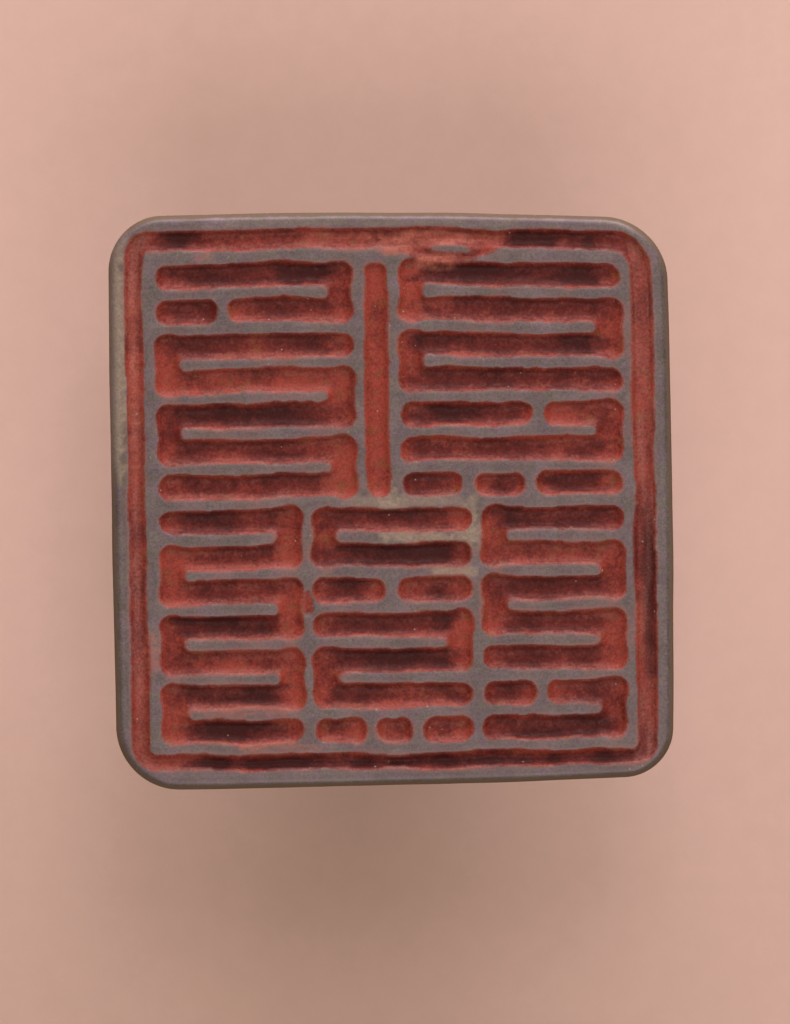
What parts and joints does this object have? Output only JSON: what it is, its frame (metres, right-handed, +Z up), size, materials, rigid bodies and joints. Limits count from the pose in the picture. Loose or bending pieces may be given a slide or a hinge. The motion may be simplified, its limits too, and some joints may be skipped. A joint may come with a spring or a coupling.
{
  "type": "bronze seal",
  "caption": "Square cast bronze seal with a plate handle, lying face up on the handle's flat end; rows of folded strokes are cut in the face inside a rounded rim and groove.",
  "frame": {"origin": "on the flat end of the handle, under the middle of the seal's outline", "axes": "+Z up out of the cut face, +Y towards the top of the face as pictured, +X to its right along the handle's width"},
  "size_m": [0.0566, 0.0578, 0.0407],
  "materials": {
    "patinated_bronze": "worn grey-brown patina, red paste in the cuts"
  },
  "bodies": {
    "root": {"seal": "patinated_bronze"}
  },
  "joints": []
}
